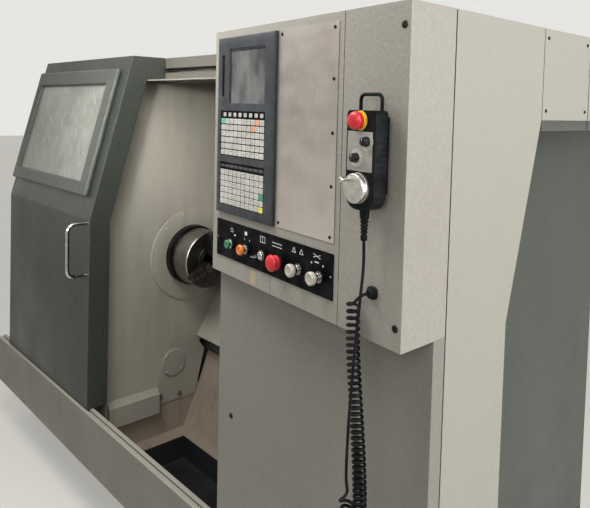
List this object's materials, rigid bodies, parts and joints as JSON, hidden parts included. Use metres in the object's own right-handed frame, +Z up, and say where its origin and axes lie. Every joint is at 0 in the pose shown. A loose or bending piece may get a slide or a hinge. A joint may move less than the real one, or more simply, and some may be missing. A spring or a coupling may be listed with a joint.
{
  "type": "cnc turning lathe",
  "caption": "Slant-bed turning lathe with a sliding front door, chuck spindle, tool turret, tailstock and a control box with a hand pendant.",
  "frame": {"origin": "centre of the bounding box, on the floor", "axes": "+X to the right along the spindle, from the headstock to the tailstock; +Y from the operator's side to the rear; +Z up"},
  "size_m": [2.75, 1.5927, 1.9],
  "materials": {
    "painted_cast_iron": "thick machine paint over rough cast iron",
    "warm_grey_enamel": "textured enamel, satin, worn at the edges",
    "pale_grey_enamel": "pale hammered enamel, satin",
    "chamber_enamel": "semi-gloss enamel, oily and scratched",
    "beige_enamel": "dull beige enamel, stained",
    "green_grey_enamel": "dark green-grey enamel, satin, worn to pale edges",
    "turned_steel": "turned steel with a dark oil film",
    "scratched_polycarbonate": "milky, scratched window sheet",
    "chromed_tube": "bright chromed tube",
    "brushed_aluminium": "brushed and anodised",
    "dark_grey_plastic": "fine-grained moulding",
    "black_plastic": "satin moulding",
    "screen_glass": "dark screen behind a glossy sheet",
    "key_plastic": "embossed membrane keys",
    "green_plastic": "moulded button cap",
    "orange_plastic": "moulded button cap",
    "red_plastic": "moulded mushroom cap",
    "clear_plastic": "clear lens cap over a pale insert",
    "black_rubber": "matt rubber and cable sheath"
  },
  "bodies": {
    "machine": {"base_frame": "painted_cast_iron", "slant_bed": "painted_cast_iron", "headstock": "painted_cast_iron", "front_panel": "warm_grey_enamel", "left_end_wall": "warm_grey_enamel", "spindle_wall": "chamber_enamel", "spindle_flange": "chamber_enamel", "roof_panel": "warm_grey_enamel", "rear_wall": "warm_grey_enamel", "door_header": "warm_grey_enamel", "front_beam": "warm_grey_enamel", "chip_tray": "beige_enamel", "right_side_wall": "pale_grey_enamel", "right_end_wall": "pale_grey_enamel", "overhead_box": "pale_grey_enamel", "lower_cabinet": "warm_grey_enamel", "control_box": "pale_grey_enamel", "cnc_bezel": "dark_grey_plastic", "display_screen": "screen_glass", "keypad_upper": "key_plastic", "keypad_lower": "key_plastic", "face_plate": "brushed_aluminium", "switch_plate": "black_plastic", "pendant_housing": "black_plastic", "cord_gland": "black_plastic", "cord_boot": "black_rubber", "cord_coil": "black_rubber", "cord_tail": "black_rubber", "spindle_motor": "painted_cast_iron", "drive_belt": "black_rubber", "left_cover": "chamber_enamel"},
    "door": {"door_shell": "green_grey_enamel", "window_frame": "warm_grey_enamel", "window_pane": "scratched_polycarbonate", "door_handle": "chromed_tube"},
    "spindle": {"spindle_shaft": "turned_steel", "chuck_body": "turned_steel"},
    "jaw_1": {"jaw_1": "turned_steel"},
    "jaw_2": {"jaw_2": "turned_steel"},
    "jaw_3": {"jaw_3": "turned_steel"},
    "motor_pulley": {"motor_pulley": "painted_cast_iron"},
    "saddle": {"saddle": "chamber_enamel"},
    "left_sliding_cover": {"left_sliding_cover": "chamber_enamel"},
    "right_sliding_cover": {"right_sliding_cover": "chamber_enamel"},
    "cross_slide": {"cross_slide": "painted_cast_iron"},
    "turret": {"turret_disc": "turned_steel"},
    "tailstock": {"tailstock_body": "painted_cast_iron"},
    "quill": {"tailstock_quill": "turned_steel"},
    "green_button": {"green_button": "green_plastic"},
    "orange_button": {"orange_button": "orange_plastic"},
    "key_switch": {"key_switch": "turned_steel"},
    "emergency_stop": {"emergency_stop": "red_plastic"},
    "white_button_left": {"white_button_left": "clear_plastic"},
    "white_button_right": {"white_button_right": "clear_plastic"},
    "pendant_stop": {"pendant_stop": "red_plastic"},
    "upper_dial": {"upper_dial": "black_plastic"},
    "lower_dial": {"lower_dial": "black_plastic"},
    "handwheel": {"handwheel": "black_plastic"},
    "crank_spinner": {"crank_spinner": "black_plastic"}
  },
  "joints": [
    {"name": "door_slide", "type": "slide", "parent": "machine", "child": "door", "axis": [1, 0, 0], "range_m": [0, 0.89]},
    {"name": "spindle_turn", "type": "hinge", "parent": "machine", "child": "spindle", "pos_m": [-0.7, -0.03853, 1.015], "axis": [1, 0, 0], "continuous": true},
    {"name": "jaw_1_slide", "type": "slide", "parent": "spindle", "child": "jaw_1", "axis": [0, 0, 1], "range_m": [-0.004, 0.004]},
    {"name": "jaw_2_slide", "type": "slide", "parent": "spindle", "child": "jaw_2", "axis": [0, -0.866, -0.5], "range_m": [-0.004, 0.004]},
    {"name": "jaw_3_slide", "type": "slide", "parent": "spindle", "child": "jaw_3", "axis": [0, 0.866, -0.5], "range_m": [-0.004, 0.004]},
    {"name": "motor_pulley_turn", "type": "hinge", "parent": "machine", "child": "motor_pulley", "pos_m": [-1.125, -0.19053, 0.4], "axis": [1, 0, 0], "continuous": true},
    {"name": "z_slide", "type": "slide", "parent": "machine", "child": "saddle", "axis": [1, 0, 0], "range_m": [-0.43, 0]},
    {"name": "left_cover_slide", "type": "slide", "parent": "machine", "child": "left_sliding_cover", "axis": [1, 0, 0], "range_m": [-0.215, 0]},
    {"name": "right_cover_slide", "type": "slide", "parent": "machine", "child": "right_sliding_cover", "axis": [1, 0, 0], "range_m": [-0.215, 0]},
    {"name": "x_slide", "type": "slide", "parent": "saddle", "child": "cross_slide", "axis": [0, 0.524, 0.8517], "range_m": [-0.165, 0]},
    {"name": "turret_index", "type": "hinge", "parent": "cross_slide", "child": "turret", "pos_m": [0.36, 0.15796, 1.3344], "axis": [1, 0, 0], "continuous": true},
    {"name": "tailstock_slide", "type": "slide", "parent": "machine", "child": "tailstock", "axis": [1, 0, 0], "range_m": [-0.15, 0]},
    {"name": "quill_slide", "type": "slide", "parent": "tailstock", "child": "quill", "axis": [1, 0, 0], "range_m": [-0.1, 0]},
    {"name": "green_press", "type": "slide", "parent": "machine", "child": "green_button", "axis": [0.1153, 0.9933, 0], "range_m": [0, 0.004], "stiffness_N_per_m": 500, "springref_m": -0.002},
    {"name": "orange_press", "type": "slide", "parent": "machine", "child": "orange_button", "axis": [0.1153, 0.9933, 0], "range_m": [0, 0.004], "stiffness_N_per_m": 500, "springref_m": -0.002},
    {"name": "key_turn", "type": "hinge", "parent": "machine", "child": "key_switch", "pos_m": [0.91673, -0.67149, 1.345], "axis": [-0.1153, -0.9933, 0], "range_deg": [-90, 0]},
    {"name": "emergency_press", "type": "slide", "parent": "machine", "child": "emergency_stop", "axis": [0.1153, 0.9933, 0], "range_m": [0, 0.004]},
    {"name": "white_left_press", "type": "slide", "parent": "machine", "child": "white_button_left", "axis": [0.1153, 0.9933, 0], "range_m": [0, 0.004], "stiffness_N_per_m": 500, "springref_m": -0.002},
    {"name": "white_right_press", "type": "slide", "parent": "machine", "child": "white_button_right", "axis": [0.1153, 0.9933, 0], "range_m": [0, 0.004], "stiffness_N_per_m": 500, "springref_m": -0.002},
    {"name": "pendant_stop_press", "type": "slide", "parent": "machine", "child": "pendant_stop", "axis": [0.1153, 0.9933, 0], "range_m": [0, 0.004]},
    {"name": "upper_dial_turn", "type": "hinge", "parent": "machine", "child": "upper_dial", "pos_m": [1.31308, -0.76077, 1.643], "axis": [-0.1153, -0.9933, 0], "range_deg": [-60, 60]},
    {"name": "lower_dial_turn", "type": "hinge", "parent": "machine", "child": "lower_dial", "pos_m": [1.28526, -0.75755, 1.612], "axis": [-0.1153, -0.9933, 0], "range_deg": [-60, 60]},
    {"name": "handwheel_turn", "type": "hinge", "parent": "machine", "child": "handwheel", "pos_m": [1.29619, -0.75881, 1.556], "axis": [-0.1153, -0.9933, 0], "continuous": true},
    {"name": "spinner_turn", "type": "hinge", "parent": "handwheel", "child": "crank_spinner", "pos_m": [1.28269, -0.77567, 1.57238], "axis": [-0.1153, -0.9933, 0], "continuous": true}
  ],
  "couplings": [
    {"joint": "jaw_2_slide", "follows": "jaw_1_slide", "ratio": 1},
    {"joint": "jaw_3_slide", "follows": "jaw_1_slide", "ratio": 1},
    {"joint": "motor_pulley_turn", "follows": "spindle_turn", "ratio": 1.4286},
    {"joint": "left_cover_slide", "follows": "z_slide", "ratio": 0.5},
    {"joint": "right_cover_slide", "follows": "z_slide", "ratio": 0.5}
  ]
}
